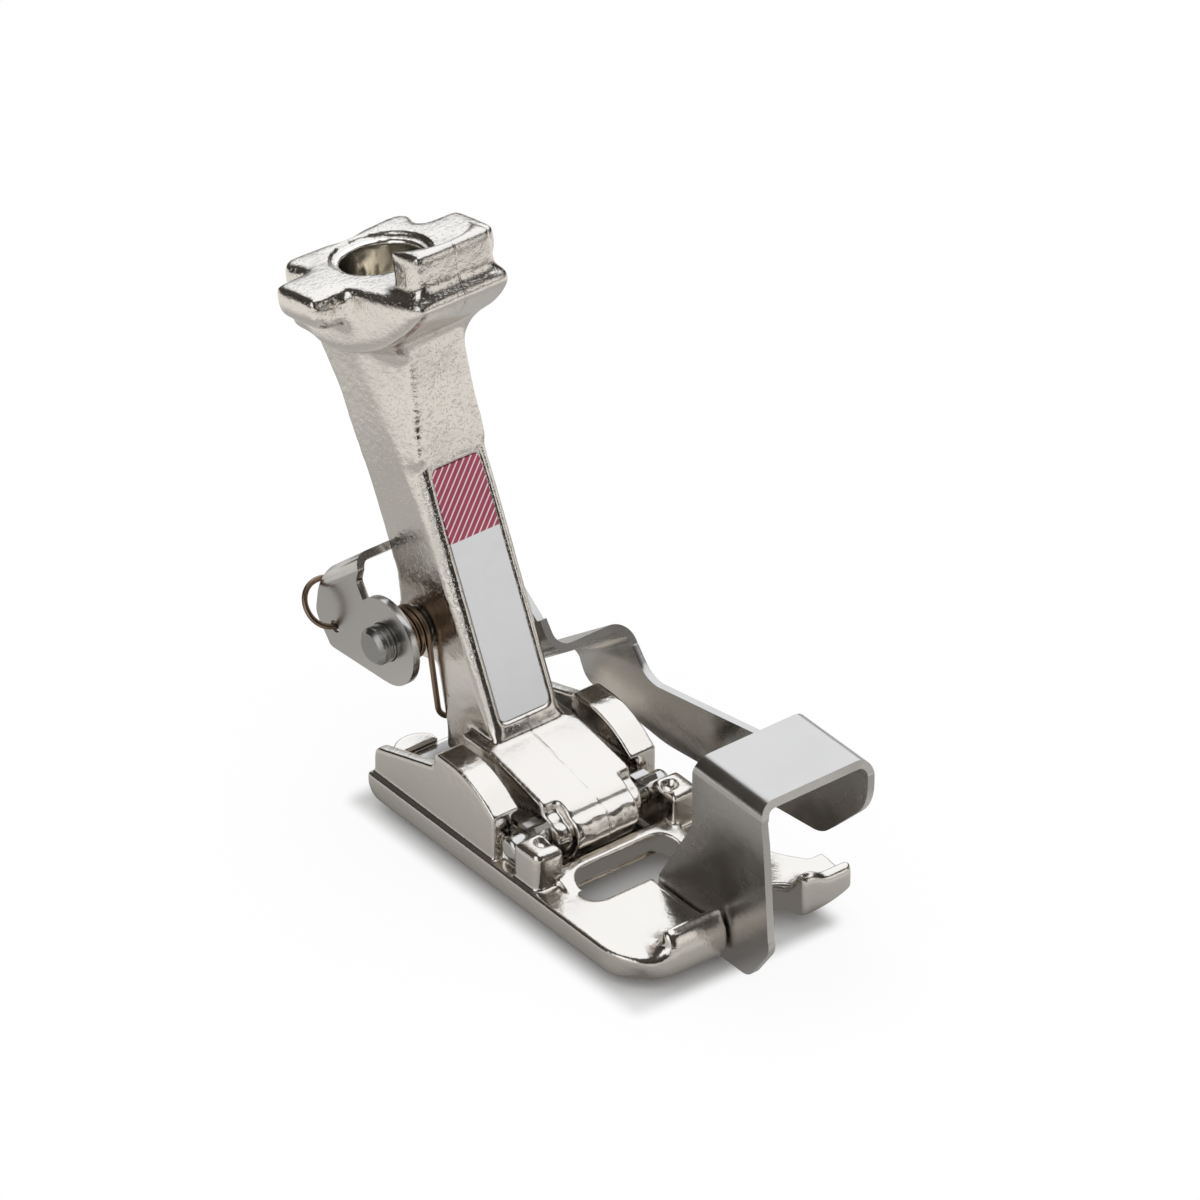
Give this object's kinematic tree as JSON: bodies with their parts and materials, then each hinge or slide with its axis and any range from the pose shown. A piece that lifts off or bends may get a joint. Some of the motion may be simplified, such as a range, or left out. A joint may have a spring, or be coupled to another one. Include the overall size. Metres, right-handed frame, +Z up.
{
  "type": "sewing machine presser foot",
  "caption": "Presser foot with a leaning cast shank, a hinged sole with open toes and a sprung sheet guide whose blade runs through the sole's slot.",
  "frame": {"origin": "flat underside of the sole, straight below the sole's pin, on the middle plane of the shank", "axes": "+X to the sewer's right, -Y to the front with the toes, +Z up; the sole is level and the shank leans back 12 degrees"},
  "size_m": [0.0166, 0.0404, 0.0374],
  "materials": {
    "nickel_casting": "semi-gloss nickel plate on a die casting",
    "nickel_sole": "polished nickel plate",
    "stainless_sheet": "satin",
    "bright_pin": "turned",
    "dark_pin": "turned and darkened",
    "leaf_steel": "satin",
    "tempered_wire": "brown tempered",
    "printed_label": "printed"
  },
  "bodies": {
    "shank": {"shank": "nickel_casting", "label": "printed_label", "sole_pin": "bright_pin", "guide_pin": "dark_pin", "torsion_spring": "tempered_wire"},
    "sole": {"sole": "nickel_sole", "leaf_spring": "leaf_steel"},
    "guide": {"guide": "stainless_sheet"}
  },
  "joints": [
    {"name": "sole_tilt", "type": "hinge", "parent": "shank", "child": "sole", "pos_m": [0, 0, 0.0029], "axis": [-1, 0, 0], "range_deg": [0, 12]},
    {"name": "guide_lift", "type": "hinge", "parent": "shank", "child": "guide", "pos_m": [0, 0.0128, 0.01051], "axis": [-1, 0, 0], "range_deg": [0, 12], "stiffness_Nm_per_rad": 0.015, "springref_deg": -20.05, "deforming": ["torsion_spring"]}
  ]
}
